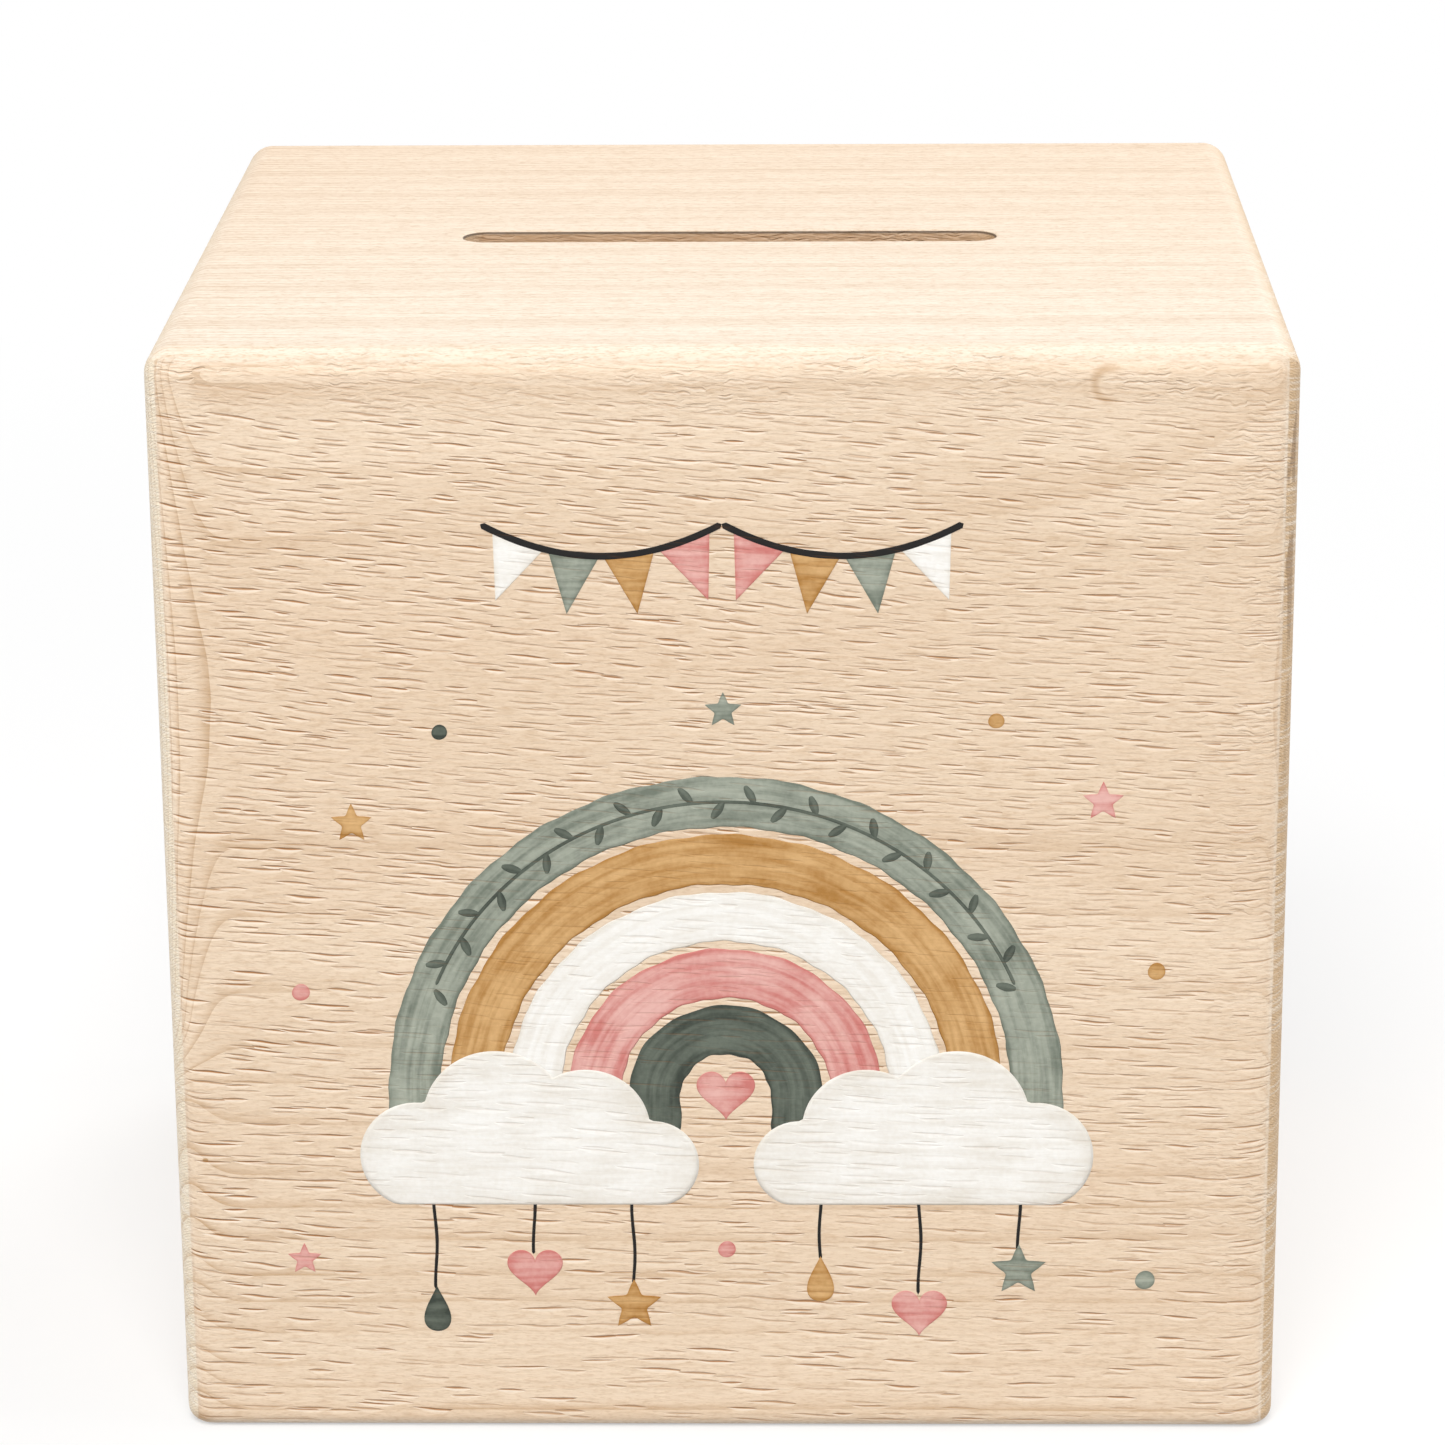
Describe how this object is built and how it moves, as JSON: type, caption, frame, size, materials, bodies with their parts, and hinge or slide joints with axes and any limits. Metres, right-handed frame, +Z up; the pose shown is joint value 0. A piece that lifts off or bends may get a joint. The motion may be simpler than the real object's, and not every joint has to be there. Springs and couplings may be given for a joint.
{
  "type": "wooden money box",
  "caption": "Upright beech money box of mitred and rabbeted boards with rounded edges, a long coin slot in its top and a rubber stopper in its base.",
  "frame": {"origin": "centre of the box's footprint, on the surface that it stands on", "axes": "+Z up, +X to the right for someone who faces the front of the box, which faces -Y"},
  "size_m": [0.1, 0.09, 0.102],
  "materials": {
    "beech": "sanded and thinly oiled, edges rounded by hand",
    "tongue_birch": "sawn, unfinished",
    "pin_steel": "bright drawn wire",
    "stopper_rubber": "moulded, satin",
    "print_ink": "thin matt ink printed on the wood, which shows its grain"
  },
  "bodies": {
    "box": {"front_board": "beech", "back_board": "beech", "top_board": "beech", "left_side_board": "beech", "right_side_board": "beech", "base_board": "beech", "front_mitre_tongue": "tongue_birch", "back_mitre_tongue": "tongue_birch", "base_pins": "pin_steel"},
    "stopper": {"stopper": "stopper_rubber"}
  },
  "joints": [
    {"name": "stopper_pull", "type": "slide", "parent": "box", "child": "stopper", "axis": [0, 0, -1], "range_m": [0, 0.045]}
  ]
}
